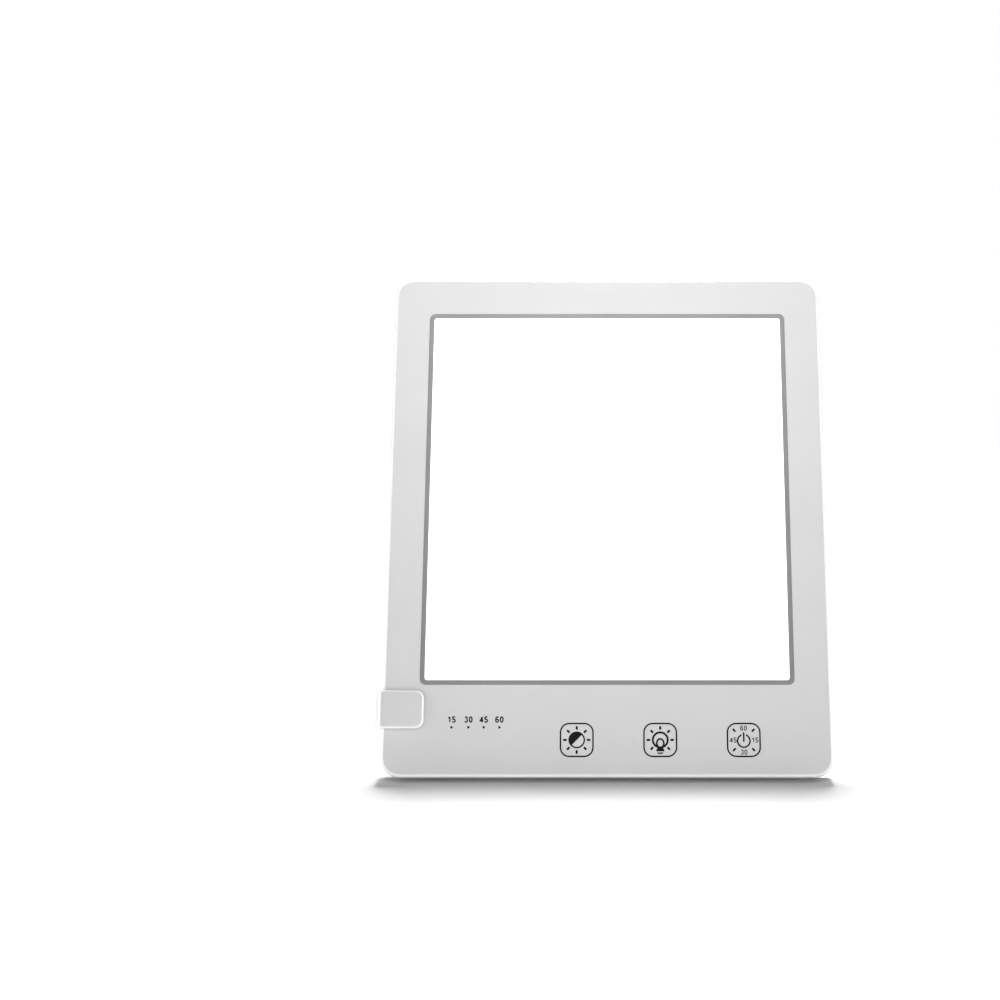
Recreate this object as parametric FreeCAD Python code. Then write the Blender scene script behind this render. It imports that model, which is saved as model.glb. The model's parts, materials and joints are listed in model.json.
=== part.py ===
"""Slim edge-lit light panel on a clip-on folding leg.

Every solid is drawn in the panel's own upright frame, in millimetres:
  x  across the panel, 0 at its middle, plus to the right seen from the front
  y  depth, 0 at the front face, plus towards the back
  z  height above the panel's lower edge
The finished solids are then leaned back and set down on the table, with the
origin under the middle of the whole object.
"""
import FreeCAD, Part
import math
import os

V = FreeCAD.Vector

# ---- overall sizes -------------------------------------------------------
outer_width = 185.0
outer_height = 215.0
outer_depth = 13.2
lean_deg = 16.0

# ---- side frame ----------------------------------------------------------
corner_radius = 8.0
front_edge_radius = 1.2
back_edge_radius = 2.0
rim_width = 1.3            # visible rim round the front panel
wall = 1.8                 # side wall between the two ledges
ledge_thick = 1.2
front_ledge_width = 2.7    # seat of the front panel, measured in from the rim
back_rim_width = 2.9       # visible rim round the back cover
back_ledge_width = 1.5     # seat of the back cover, measured in from the rim
cover_groove = 0.25        # bevel on both sides of the joint line

# ---- fits ----------------------------------------------------------------
fit_gap = 0.1              # between parts that drop into each other
cover_gap = 0.15
slide_gap = 0.5            # between the clip's jaws and the panel
screw_gap = 0.02

# ---- front panel, frame line and window ----------------------------------
panel_thick = 2.0
tape_thick = 0.2
side_bezel = 15.2          # from the outer edge to the frame line
top_bezel = 16.1
chin_height = 37.5
line_width = 2.0           # dark frame line round the window
line_depth = 0.1           # the line lies this far below the front face
line_flange_width = 2.0
line_flange_thick = 0.6
line_outer_radius = 2.5
line_inner_radius = 1.0

# ---- backlight stack -----------------------------------------------------
stack_margin = 4.0         # sheets reach this far past the window
side_margin = 6.1
opal_thick = 1.8
film_thick = 0.2
sheet_gap = 0.02           # air between the loose sheets
guide_thick = 3.0
reflector_thick = 0.25
tray_thick = 0.8
led_count = 24
led_length = 3.5
led_width = 2.8
led_thick = 0.9
led_air_gap = 0.3
led_board_thick = 1.0
thermal_tape_thick = 0.2

# ---- screws and their bosses ---------------------------------------------
boss_diameter = 4.5
shank_diameter = 1.6
head_diameter = 3.8
head_height = 1.2
thread_depth = 4.2
tray_screw_x = 60.0
tray_lip = 3.0             # tray past a boss's middle
boss_margin = 1.0          # boss clear of the light guide

# ---- control board -------------------------------------------------------
board_thick = 1.2
board_bottom = 5.0
board_height = 22.6
board_corner = 2.0
board_edge_gap = 1.2
board_from_left = 16.5
board_screw_low = 8.2
board_screw_high = 24.2
board_screw_left = 22.5    # from the left edge to the first low screw
board_screw_right = 18.5   # from the right edge to the last low screw
board_screw_from_key = 22.2
key_names = ["timer", "lamp", "brightness"]
key_from_right = 36.7      # from the right edge to the timer key
key_from_dots = 31.7       # from the last minute dot to the brightness key
key_z = 15.1
key_pad_diameter = 9.0
dot_from_left = [28.8, 35.7, 42.0, 48.4]
dot_z = 20.2
dot_diameter = 1.0
dot_gap = 0.05
dot_led_height = 0.7
dot_led_length = 1.6
dot_led_width = 0.8
baffle_margin = 2.8
component_z = 15.0         # middle line of the parts on the board
chip_size = (10.0, 6.0, 1.5)
driver_size = (5.0, 4.0, 1.2)
driver_from_right = 46.5
inductor_size = 6.0
inductor_height = 3.0
inductor_from_right = 36.5
capacitor_diameter = 4.0
capacitor_height = 3.4
capacitor_from_right = 27.5
capacitor_pitch = 5.5
plug_size = (6.0, 4.0, 2.6)
plug_z = 22.6
plug_from_right = 23.5
flex_width = 1.6
flex_thick = 0.2

# ---- socket in the right-hand side wall ----------------------------------
socket_z = 20.5
socket_recess = (13.3, 4.2, 0.8)    # length, width and depth of the recess
socket_slot = (10.6, 3.6)
socket_shell = (8.94, 3.26, 7.35)   # the small reversible connector
socket_wall = 0.3
socket_tongue = (6.7, 0.7, 4.5)
socket_insulator = 1.8

# ---- back cover ----------------------------------------------------------
cover_thick = 2.0
vent_columns = 15
vent_rows = 6
vent_pitch_x = 2.6
vent_pitch_z = 2.75
vent_diameter = 1.15
vent_from_side = 21.1
vent_from_bottom = 9.4
hook_length = 10.0
hook_wall = 1.2
hook_reach = 0.6
hook_lip = 0.5
rib_x = 30.0
rib_margin = 19.0          # ribs end this far inside the window
rib_thick = 1.2

# ---- clip and folding leg ------------------------------------------------
clip_bottom = 19.6
clip_height = 15.7
clip_overlap = 17.5        # how far the jaws reach over the panel
clip_web = 2.2
clip_web_gap = 0.3
front_jaw_thick = 1.6
rear_jaw_thick = 2.0
clip_roll_radius = 3.4
clip_tip_radius = 3.3
clip_root_radius = 2.0
pad_length = 12.0
pad_border = 2.5           # clip below and above the pad
pad_thick = 1.1
pad_gap = 0.1
pin_diameter = 2.0
pin_fit = 0.02
pin_play = 0.06
knuckle_radius = 2.6
knuckle_clear = 0.4
knuckle_length = 4.6
washer_thick = 0.3
washer_diameter = 4.6
washer_play = 0.1
stop_gap = 0.1
leg_length = 88.0
leg_thick = 4.0
leg_end_radius = 3.0
leg_pocket_depth = 0.8
leg_pocket_border = 2.4
foot_pad_thick = 1.0
foot_pad_inset = 0.3
foot_pad_margin = 1.5      # sole left free before and behind the pad

# ---- worked out ----------------------------------------------------------
half_width = outer_width / 2.0
lean = math.radians(lean_deg)
seat_depth = panel_thick + tape_thick
cover_seat = outer_depth - cover_thick
front_ledge = rim_width + front_ledge_width
back_ledge = back_rim_width + back_ledge_width
window_width = outer_width - 2 * (side_bezel + line_width)
window_height = outer_height - chin_height - top_bezel - 2 * line_width
window_bottom = chin_height + line_width
window_middle = window_bottom + window_height / 2.0
line_opening = (window_width + 2 * line_width, window_height + 2 * line_width)
opal_front = panel_thick + line_flange_thick
opal_back = opal_front + opal_thick
film_front = opal_back + sheet_gap
prism_front = film_front + film_thick + sheet_gap
guide_front = prism_front + film_thick + sheet_gap
guide_back = guide_front + guide_thick
reflector_front = guide_back + sheet_gap
tray_front = reflector_front + reflector_thick + sheet_gap
tray_back = tray_front + tray_thick
sheet_width = window_width + 2 * side_margin
sheet_height = window_height + 2 * stack_margin
sheet_bottom = window_bottom - stack_margin
sheet_top = sheet_bottom + sheet_height
boss_offset = boss_diameter / 2.0 + boss_margin
tray_bottom = sheet_bottom - boss_offset - tray_lip
tray_top = sheet_top + boss_offset + tray_lip
led_face = sheet_width / 2.0 + led_air_gap
led_board_face = led_face + led_thick
tape_face = led_board_face + led_board_thick
tray_wall_face = tape_face + thermal_tape_thick
tray_half_width = tray_wall_face + tray_thick
led_row_length = sheet_height - 2 * side_margin
led_depth = (guide_front + guide_back) / 2.0
board_left = -half_width + board_from_left
board_right = half_width - wall - board_edge_gap
key_pitch = (outer_width - key_from_right - dot_from_left[-1] - key_from_dots) / 2.0
key_x = [half_width - key_from_right - number * key_pitch for number in range(3)]
dot_x = [distance - half_width for distance in dot_from_left]
board_screw_places = [(board_screw_left - half_width, board_screw_low),
                      (key_x[2] - board_screw_from_key, board_screw_high),
                      ((key_x[0] + key_x[1]) / 2.0, board_screw_high),
                      (half_width - board_screw_right, board_screw_low)]
plug_x = half_width - plug_from_right
socket_depth = outer_depth - 4.27
board_back = socket_depth - socket_shell[1] / 2.0
board_front = board_back - board_thick
socket_mouth = half_width - socket_recess[2] - fit_gap
clip_left = -half_width - clip_web_gap - clip_web
clip_right = -half_width + clip_overlap
clip_top = clip_bottom + clip_height
clip_front = -slide_gap - front_jaw_thick
clip_back = outer_depth + slide_gap + rear_jaw_thick
hinge_y = clip_back + knuckle_radius + knuckle_clear
hinge_x = clip_left + 9.0
leg_start = hinge_y + knuckle_radius + 0.6
leg_end = hinge_y + leg_length
tongue_bottom = clip_bottom + knuckle_length + washer_thick + washer_play
tongue_top = clip_top - knuckle_length - washer_thick - washer_play
stand_drop = ((outer_depth - back_edge_radius) * math.sin(lean)
              + back_edge_radius * (1 - math.cos(lean)))
sole_start = ((clip_bottom * math.cos(lean) + stand_drop - foot_pad_thick)
              / math.sin(lean))


# ---- drawing helpers -----------------------------------------------------
def block(x0, x1, y0, y1, z0, z1):
    """A box between two corners."""
    return Part.makeBox(x1 - x0, y1 - y0, z1 - z0, V(x0, y0, z0))


def rod(diameter, y0, y1, x, z):
    """A round bar along the depth of the panel."""
    return Part.makeCylinder(diameter / 2.0, y1 - y0, V(x, y0, z), V(0, 1, 0))


def upright(diameter, x, y, z0, z1):
    """A round bar along the height of the panel."""
    return Part.makeCylinder(diameter / 2.0, z1 - z0, V(x, y, z0), V(0, 0, 1))


def outline(x0, x1, z0, z1, left_radius, right_radius, y):
    """A rectangle with rounded corners, facing the front, as a face."""
    left = max(left_radius, 0.05)
    right = max(right_radius, 0.05)
    corners = [(x0, z0, 1, 1, left), (x1, z0, -1, 1, right),
               (x1, z1, -1, -1, right), (x0, z1, 1, -1, left)]
    bends = []
    for number, (x, z, side, up, r) in enumerate(corners):
        along_x = V(x + side * r, y, z)
        along_z = V(x, y, z + up * r)
        middle = V(x + side * r * (1 - math.sqrt(0.5)), y, z + up * r * (1 - math.sqrt(0.5)))
        ends = (along_z, along_x) if number % 2 == 0 else (along_x, along_z)
        bends.append((ends[0], middle, ends[1]))
    edges = []
    for number, (start, middle, end) in enumerate(bends):
        edges.append(Part.Arc(start, middle, end).toShape())
        edges.append(Part.LineSegment(end, bends[(number + 1) % 4][0]).toShape())
    return Part.Face(Part.Wire(edges))


def plate(width, height, radius, y0, y1, middle_z, middle_x=0.0):
    """A flat plate with round corners, facing the front."""
    face = outline(middle_x - width / 2.0, middle_x + width / 2.0,
                   middle_z - height / 2.0, middle_z + height / 2.0, radius, radius, y0)
    return face.extrude(V(0, y1 - y0, 0))


def inset_plate(inset, y0, y1):
    """A plate that follows the outer outline at a distance inside it."""
    return plate(outer_width - 2 * inset, outer_height - 2 * inset,
                 corner_radius - inset, y0, y1, outer_height / 2.0)


def flat_edges(shape, y):
    """The edges of a shape that lie in one plane across the depth."""
    return [e for e in shape.Edges
            if abs(e.BoundBox.YMin - y) < 1e-4 and abs(e.BoundBox.YMax - y) < 1e-4]


def slot_bar(length, width, x0, x1, y, z):
    """A bar with round ends along x, longer in z than in y."""
    reach = (length - width) / 2.0
    bar = block(x0, x1, y - width / 2.0, y + width / 2.0, z - reach, z + reach)
    for end in (-reach, reach):
        bar = bar.fuse(Part.makeCylinder(width / 2.0, x1 - x0, V(x0, y, z + end), V(1, 0, 0)))
    return bar.removeSplitter()


def screw(x, z, head_front):
    """A pan-head screw that goes in from the back."""
    head = rod(head_diameter, head_front, head_front + head_height, x, z)
    head = head.makeFillet(head_height * 0.4, flat_edges(head, head_front + head_height))
    cross = block(x - 1.0, x + 1.0, 0, head_height / 2.0, z - 0.15, z + 0.15)
    cross = cross.fuse(block(x - 0.15, x + 0.15, 0, head_height / 2.0, z - 1.0, z + 1.0))
    cross.translate(V(0, head_front + head_height / 2.0, 0))
    return head.fuse(rod(shank_diameter, head_front - board_thick - 3.0, head_front, x, z)).cut(cross)


def mirrored(shape):
    """The same piece on the other side of the middle."""
    return shape.mirror(V(0, 0, 0), V(1, 0, 0))


# ---- casing --------------------------------------------------------------
def side_frame():
    """The white band round the edge, with a ledge for each cover."""
    body = inset_plate(0, 0, outer_depth)
    body = body.makeFillet(front_edge_radius, flat_edges(body, 0))
    body = body.makeFillet(back_edge_radius, flat_edges(body, outer_depth))
    steps = [(rim_width, -1.0, seat_depth),
             (front_ledge, seat_depth - 0.1, seat_depth + ledge_thick),
             (wall, seat_depth + ledge_thick, cover_seat - ledge_thick),
             (back_ledge, cover_seat - ledge_thick - 0.1, cover_seat + 0.1),
             (back_rim_width, cover_seat, outer_depth + 1.0)]
    for inset, y0, y1 in steps:
        body = body.cut(inset_plate(inset, y0, y1))
    length, width, depth = socket_recess
    body = body.cut(slot_bar(length, width, half_width - depth, half_width + 1.0,
                             socket_depth, socket_z))
    body = body.cut(slot_bar(socket_slot[0], socket_slot[1], half_width - front_ledge - 2.0,
                             half_width, socket_depth, socket_z))
    room = socket_shell[0] / 2.0 + 1.0
    return body.cut(block(half_width - back_ledge - 1.0, half_width - back_rim_width,
                          cover_seat - ledge_thick - 0.5, cover_seat,
                          socket_z - room, socket_z + room))


def tray_screw_places():
    """Where the backlight tray is screwed down: three above, two below."""
    above = sheet_top + boss_offset
    below = sheet_bottom - boss_offset
    return ([(x, above) for x in (-tray_screw_x, 0.0, tray_screw_x)]
            + [(x, below) for x in (-tray_screw_x, tray_screw_x)])


def front_panel():
    """The grey front plate, with the window and the screw bosses behind it."""
    gap = rim_width + fit_gap
    body = inset_plate(gap, 0, panel_thick)
    body = body.makeChamfer(0.15, flat_edges(body, 0))
    body = body.cut(plate(line_opening[0], line_opening[1], line_outer_radius,
                          -1, panel_thick + 1, window_middle))
    bosses = [(x, z, board_front) for x, z in board_screw_places]
    bosses += [(x, z, tray_front) for x, z in tray_screw_places()]
    for x, z, top in bosses:
        body = body.fuse(rod(boss_diameter, panel_thick, top, x, z))
    for x, z, top in bosses:
        body = body.cut(rod(shank_diameter + 2 * screw_gap,
                            max(top - thread_depth, 0.8), top + 1.0, x, z))
    for x in dot_x:
        body = body.cut(rod(dot_diameter + 2 * dot_gap, -1, panel_thick + 1, x, dot_z))
    return body


def front_tape_ring():
    """Double-sided tape between the front panel and its ledge."""
    outer = inset_plate(rim_width + 3 * fit_gap, panel_thick, seat_depth)
    return outer.cut(inset_plate(front_ledge - 3 * fit_gap, panel_thick - 1, seat_depth + 1))


def window_gasket():
    """The dark line round the window, with a flange behind the front panel."""
    width, height = line_opening
    face = plate(width - 2 * dot_gap, height - 2 * dot_gap, line_outer_radius,
                 line_depth, panel_thick, window_middle)
    flange = plate(width + 2 * line_flange_width, height + 2 * line_flange_width,
                   line_outer_radius + line_flange_width, panel_thick, opal_front, window_middle)
    hole = plate(window_width, window_height, line_inner_radius, -1, opal_front + 1, window_middle)
    return face.fuse(flange).cut(hole)


def back_cover():
    """The flat back with its two vent fields, snap hooks and inner ribs."""
    gap = back_rim_width + cover_gap
    body = inset_plate(gap, cover_seat, outer_depth)
    body = body.makeChamfer(cover_groove, flat_edges(body, outer_depth))
    for hook in snap_hooks():
        body = body.fuse(hook)
    for x in (-rib_x, rib_x):
        body = body.fuse(block(x - rib_thick / 2.0, x + rib_thick / 2.0, tray_back, cover_seat,
                               window_bottom + rib_margin,
                               window_bottom + window_height - rib_margin))
    holes = []
    for side in (-1, 1):
        for column in range(vent_columns):
            for row in range(vent_rows):
                x = side * (half_width - vent_from_side - column * vent_pitch_x)
                z = vent_from_bottom + row * vent_pitch_z
                holes.append(rod(vent_diameter, cover_seat - 1, outer_depth + 1, x, z))
    return body.cut(Part.makeCompound(holes))


def hook(side_face, along):
    """One snap hook on the right-hand side: a wall and an outward lip."""
    inner = side_face - 2 * fit_gap - hook_wall
    lip_top = cover_seat - ledge_thick - fit_gap
    stem = block(inner, inner + hook_wall, lip_top - hook_lip, cover_seat,
                 along - hook_length / 2.0, along + hook_length / 2.0)
    lip = block(inner, inner + hook_wall + hook_reach, lip_top - hook_lip, lip_top,
                along - hook_length / 2.0, along + hook_length / 2.0)
    return stem.fuse(lip)


def snap_hooks():
    """Three hooks down each side and two along the top and the bottom."""
    hooks = []
    for share in (0.25, 0.5, 0.75):
        right = hook(half_width - back_ledge, outer_height * share)
        hooks += [right, mirrored(right)]
    for along in (-outer_width / 4.0, outer_width / 4.0):
        for turn in (90, -90):
            piece = hook(outer_height / 2.0 - back_ledge, along)
            piece.rotate(V(0, 0, 0), V(0, 1, 0), turn)
            piece.translate(V(0, 0, outer_height / 2.0))
            hooks.append(piece)
    return hooks


# ---- backlight -----------------------------------------------------------
def sheet(y0, y1, inset=0.0):
    """One flat sheet of the backlight stack."""
    return plate(sheet_width - 2 * inset, sheet_height - 2 * inset, 0.5, y0, y1, window_middle)


def opal_diffuser():
    """The milky window: a raised land that fills the frame line, on a plate."""
    land = plate(window_width - 2 * fit_gap, window_height - 2 * fit_gap, line_inner_radius,
                 0, opal_front, window_middle)
    return sheet(opal_front, opal_back).fuse(land)


def backlight_tray():
    """The folded aluminium tray behind the stack, which also cools the LEDs."""
    tray_middle = (tray_bottom + tray_top) / 2.0
    body = plate(2 * tray_half_width, tray_top - tray_bottom, 2.0,
                 tray_front, tray_back, tray_middle)
    side = block(tray_wall_face, tray_half_width, opal_back, tray_back - tray_thick / 2.0,
                 sheet_bottom + 1.0, sheet_top - 1.0)
    body = body.fuse([side, mirrored(side)])
    for x, z in tray_screw_places():
        body = body.cut(rod(shank_diameter + 0.4, tray_front - 1, tray_back + 1, x, z))
    return body


def led_board():
    """The strip that carries one row of LEDs, on the right."""
    return block(led_board_face, tape_face, opal_back + film_thick, tray_front - fit_gap,
                 sheet_bottom + 1.0, sheet_top - 1.0)


def led_row():
    """One row of LED packages that shine into the light guide's edge."""
    pitch = led_row_length / (led_count - 1)
    first = window_middle - led_row_length / 2.0
    leds = []
    for number in range(led_count):
        middle = first + number * pitch
        leds.append(block(led_face, led_board_face, led_depth - led_width / 2.0,
                          led_depth + led_width / 2.0,
                          middle - led_length / 2.0, middle + led_length / 2.0))
    return Part.makeCompound(leds)


def thermal_tape():
    """Heat-conducting tape between an LED strip and the tray's side."""
    return block(tape_face, tray_wall_face, opal_back + 2 * film_thick, tray_front - 2 * fit_gap,
                 sheet_bottom + 2.0, sheet_top - 2.0)


# ---- electronics ---------------------------------------------------------
def control_board():
    """The board along the chin, behind the touch keys."""
    body = plate(board_right - board_left, board_height, board_corner, board_front, board_back,
                 board_bottom + board_height / 2.0, (board_left + board_right) / 2.0)
    for x, z in board_screw_places:
        body = body.cut(rod(shank_diameter + 0.4, board_front - 1, board_back + 1, x, z))
    return body


def on_board(size, place):
    """A rectangular component on the back of the board."""
    length, width, height = size
    x, z = place
    return block(x - length / 2.0, x + length / 2.0, board_back, board_back + height,
                 z - width / 2.0, z + width / 2.0)


def power_inductor():
    """The shielded coil of the LED supply: a square base and a round core."""
    x = half_width - inductor_from_right
    base = on_board((inductor_size, inductor_size, inductor_height * 0.3), (x, component_z))
    core = rod(inductor_size * 0.94, board_back, board_back + inductor_height, x, component_z)
    return base.fuse(core)


def capacitors():
    """Two low cans on square feet."""
    cans = []
    x = half_width - capacitor_from_right
    for z in (component_z - capacitor_pitch, component_z):
        can = rod(capacitor_diameter, board_back, board_back + capacitor_height, x, z)
        can = can.makeFillet(0.3, flat_edges(can, board_back + capacitor_height))
        cans.append(can.fuse(on_board((capacitor_diameter, capacitor_diameter, 0.6), (x, z))))
    return Part.makeCompound(cans)


def timer_leds():
    """Four small LEDs on the front of the board, one under each dot."""
    return Part.makeCompound([
        block(x - dot_led_length / 2.0, x + dot_led_length / 2.0, board_front - dot_led_height,
              board_front, dot_z - dot_led_width / 2.0, dot_z + dot_led_width / 2.0)
        for x in dot_x])


def timer_light_pipes():
    """Four clear pins that bring the timer LEDs' light to the front face."""
    end = board_front - dot_led_height - fit_gap
    return Part.makeCompound([rod(dot_diameter, 0, end, x, dot_z) for x in dot_x])


def timer_baffle():
    """A black block that keeps each timer LED's light in its own hole."""
    body = block(min(dot_x) - baffle_margin, max(dot_x) + baffle_margin, panel_thick, board_front,
                 dot_z - baffle_margin, dot_z + baffle_margin)
    for x in dot_x:
        body = body.cut(rod(dot_diameter + 2 * dot_gap, panel_thick - 1, board_front, x, dot_z))
        body = body.cut(rod(dot_led_length + 0.6, board_front - dot_led_height - 2 * fit_gap,
                            board_front + 1, x, dot_z))
    return body


def usb_shell():
    """The socket's steel shell, open at the side wall of the panel."""
    length, width, depth = socket_shell
    outer = slot_bar(length, width, socket_mouth - depth, socket_mouth, socket_depth, socket_z)
    inner = slot_bar(length - 2 * socket_wall, width - 2 * socket_wall,
                     socket_mouth - depth - 1, socket_mouth + 1, socket_depth, socket_z)
    return outer.cut(inner)


def usb_tongue():
    """The plastic core of the socket, with its contact tongue."""
    length, width, depth = socket_shell
    rear = socket_mouth - depth
    gap = socket_wall
    core = slot_bar(length - 2 * gap, width - 2 * gap, rear, rear + socket_insulator,
                    socket_depth, socket_z)
    reach, thick, out = socket_tongue
    tongue = block(rear + socket_insulator, rear + socket_insulator + out,
                   socket_depth - thick / 2.0, socket_depth + thick / 2.0,
                   socket_z - reach / 2.0, socket_z + reach / 2.0)
    return core.fuse(tongue)


def led_flex():
    """The flat lead from the board's plug to the end of the right LED strip."""
    y0 = board_back + 0.1
    y1 = y0 + flex_thick
    inner = tape_face - fit_gap - flex_width
    run = block(plug_x + plug_size[0] / 2.0, inner + flex_width, y0, y1,
                plug_z, plug_z + flex_width)
    rise = block(inner, inner + flex_width, y0, y1, plug_z, sheet_bottom + 1.0)
    return run.fuse(rise)


# ---- clip and leg --------------------------------------------------------
def edge_clip():
    """The U-shaped clip that slips over the left edge, with hinge knuckles."""
    outer = block(clip_left, clip_right, clip_front, clip_back, clip_bottom, clip_top)
    bends = [e for e in outer.Edges
             if e.BoundBox.XMax < clip_left + 1e-4 and e.BoundBox.ZLength > clip_height / 2.0]
    outer = outer.makeFillet(clip_roll_radius, bends)
    trim = outline(clip_left, clip_right, clip_bottom, clip_top,
                   clip_root_radius, clip_tip_radius, clip_front - 1)
    outer = outer.common(trim.extrude(V(0, clip_back - clip_front + 2, 0)))
    body = outer.cut(block(-half_width - clip_web_gap, clip_right + 1, -slide_gap,
                           outer_depth + slide_gap, clip_bottom - 1, clip_top + 1))
    for z0 in (clip_bottom, clip_top - knuckle_length):
        body = body.fuse(block(hinge_x - knuckle_radius, hinge_x + knuckle_radius,
                               clip_back - rear_jaw_thick / 2.0, hinge_y, z0, z0 + knuckle_length))
        body = body.fuse(upright(2 * knuckle_radius, hinge_x, hinge_y, z0, z0 + knuckle_length))
    body = body.cut(upright(pin_diameter + 2 * pin_fit, hinge_x, hinge_y,
                            clip_bottom - 1, clip_top + 1))
    body = body.removeSplitter()
    for pad in (clip_pad_front(), clip_pad_rear()):
        body = body.cut(pad)
    return body


def clip_pad(y0, y1):
    """A rubber pad let into one jaw of the clip."""
    middle_x = (clip_right - half_width) / 2.0
    return plate(pad_length, clip_height - 2 * pad_border, 1.5, y0, y1,
                 clip_bottom + clip_height / 2.0, middle_x)


def clip_pad_front():
    """The pad that grips the front face."""
    return clip_pad(-pad_gap - pad_thick, -pad_gap)


def clip_pad_rear():
    """The pad that grips the back face."""
    return clip_pad(outer_depth + pad_gap, outer_depth + pad_gap + pad_thick)


def hinge_pin():
    """The steel pin through the clip's and the leg's knuckles."""
    return upright(pin_diameter, hinge_x, hinge_y, clip_bottom + fit_gap, clip_top - fit_gap)


def hinge_washers():
    """Two friction washers, one each side of the leg's knuckle."""
    rings = []
    for z0 in (clip_bottom + knuckle_length, clip_top - knuckle_length - washer_thick):
        disc = upright(washer_diameter, hinge_x, hinge_y, z0, z0 + washer_thick)
        rings.append(disc.cut(upright(pin_diameter + 2 * pin_play, hinge_x, hinge_y,
                                      z0 - 1, z0 + washer_thick + 1)))
    return Part.makeCompound(rings)


def under_table(height):
    """All that lies lower than a height above the table, in the panel's frame."""
    reach = outer_height + leg_length
    slab = block(-reach, reach, -reach, 2 * reach, -reach, height)
    slab.translate(V(0, 0, -stand_drop))
    slab.rotate(V(0, 0, 0), V(1, 0, 0), lean_deg)
    return slab


def leg_blade(side_inset, border):
    """The outline of the leg seen from the side, as a slab."""
    face = outline(0, leg_end - leg_start - 2 * border, clip_bottom + border, clip_top - border,
                   0.5, leg_end_radius, 0)
    slab = face.extrude(V(0, leg_thick - 2 * side_inset, 0))
    slab.rotate(V(0, 0, 0), V(0, 0, 1), 90)
    slab.translate(V(hinge_x + leg_thick / 2.0 - side_inset, leg_start + border, 0))
    return slab.cut(under_table(foot_pad_thick + border))


def prop_leg():
    """The folding leg, opened straight back, with its sole on the table."""
    body = leg_blade(0, 0)
    pocket = leg_blade(0, leg_pocket_border)
    for shift in (leg_thick - leg_pocket_depth, leg_pocket_depth - leg_thick):
        cut = pocket.copy()
        cut.translate(V(shift, 0, 0))
        body = body.cut(cut)
    body = body.fuse(block(hinge_x - leg_thick / 2.0, hinge_x + leg_thick / 2.0, hinge_y,
                           leg_start + 0.5, tongue_bottom, tongue_top))
    body = body.fuse(upright(2 * knuckle_radius, hinge_x, hinge_y, tongue_bottom, tongue_top))
    body = body.fuse(block(hinge_x - knuckle_radius, hinge_x, clip_back + stop_gap, hinge_y,
                           tongue_bottom, tongue_top))
    body = body.cut(upright(pin_diameter + 2 * pin_play, hinge_x, hinge_y,
                            clip_bottom, clip_top))
    return body.removeSplitter()


def leg_foot_pad():
    """The rubber strip under the leg's sole."""
    sole = under_table(foot_pad_thick).cut(under_table(0))
    room = block(hinge_x - leg_thick / 2.0 + foot_pad_inset,
                 hinge_x + leg_thick / 2.0 - foot_pad_inset,
                 sole_start + foot_pad_margin, leg_end - foot_pad_margin,
                 -outer_height, outer_height)
    return sole.common(room)


# ---- the whole object ----------------------------------------------------
def pieces():
    """Every piece of the object, by name."""
    nodes = {
        "side_frame": side_frame(),
        "front_panel": front_panel(),
        "front_tape_ring": front_tape_ring(),
        "window_gasket": window_gasket(),
        "back_cover": back_cover(),
        "opal_diffuser": opal_diffuser(),
        "diffuser_film": sheet(film_front, film_front + film_thick, 0.5),
        "prism_film": sheet(prism_front, prism_front + film_thick, 0.5),
        "light_guide": sheet(guide_front, guide_back),
        "reflector_sheet": sheet(reflector_front, reflector_front + reflector_thick, 0.2),
        "backlight_tray": backlight_tray(),
        "tray_screws": Part.makeCompound([screw(x, z, tray_back)
                                          for x, z in tray_screw_places()]),
        "control_board": control_board(),
        "board_screws": Part.makeCompound([screw(x, z, board_back)
                                           for x, z in board_screw_places]),
        "timer_leds": timer_leds(),
        "timer_light_pipes": timer_light_pipes(),
        "timer_baffle": timer_baffle(),
        "touch_control_chip": on_board(chip_size, ((key_x[1] + key_x[2]) / 2.0, component_z)),
        "led_driver_chip": on_board(driver_size, (half_width - driver_from_right, component_z)),
        "power_inductor": power_inductor(),
        "capacitors": capacitors(),
        "usb_shell": usb_shell(),
        "usb_tongue": usb_tongue(),
        "edge_clip": edge_clip(),
        "clip_pad_front": clip_pad_front(),
        "clip_pad_rear": clip_pad_rear(),
        "hinge_pin": hinge_pin(),
        "hinge_washers": hinge_washers(),
        "prop_leg": prop_leg(),
        "leg_foot_pad": leg_foot_pad(),
    }
    for name, x in zip(key_names, key_x):
        nodes["touch_pad_" + name] = rod(key_pad_diameter, panel_thick, board_front, x, key_z)
    plug = on_board(plug_size, (plug_x, plug_z + flex_width / 2.0))
    pairs = {"led_board": led_board(), "led_row": led_row(), "led_tape": thermal_tape(),
             "led_flex": led_flex(), "led_plug": plug}
    for name, right in pairs.items():
        nodes[name + "_right"] = right
        nodes[name + "_left"] = mirrored(right)
    return nodes


def stand(nodes):
    """Lean every piece back and put the origin under the middle."""
    for shape in nodes.values():
        shape.rotate(V(0, 0, 0), V(1, 0, 0), -lean_deg)
        shape.translate(V(0, 0, stand_drop))
    box = Part.makeCompound([nodes["side_frame"], nodes["edge_clip"], nodes["prop_leg"]]).BoundBox
    for shape in nodes.values():
        shape.translate(V(-(box.XMin + box.XMax) / 2.0, -(box.YMin + box.YMax) / 2.0, 0))


def main():
    os.makedirs("parts", exist_ok=True)
    nodes = pieces()
    stand(nodes)
    for name, shape in nodes.items():
        shape.exportStep("parts/" + name + ".step")
        print(name, "solids", len(shape.Solids), "valid", shape.isValid(),
              "volume", round(shape.Volume, 1))
    box = Part.makeCompound(list(nodes.values())).BoundBox
    print("box", [round(v, 2) for v in (box.XMin, box.YMin, box.ZMin, box.XMax, box.YMax, box.ZMax)])
    print("nodes", len(nodes))


main()
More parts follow.
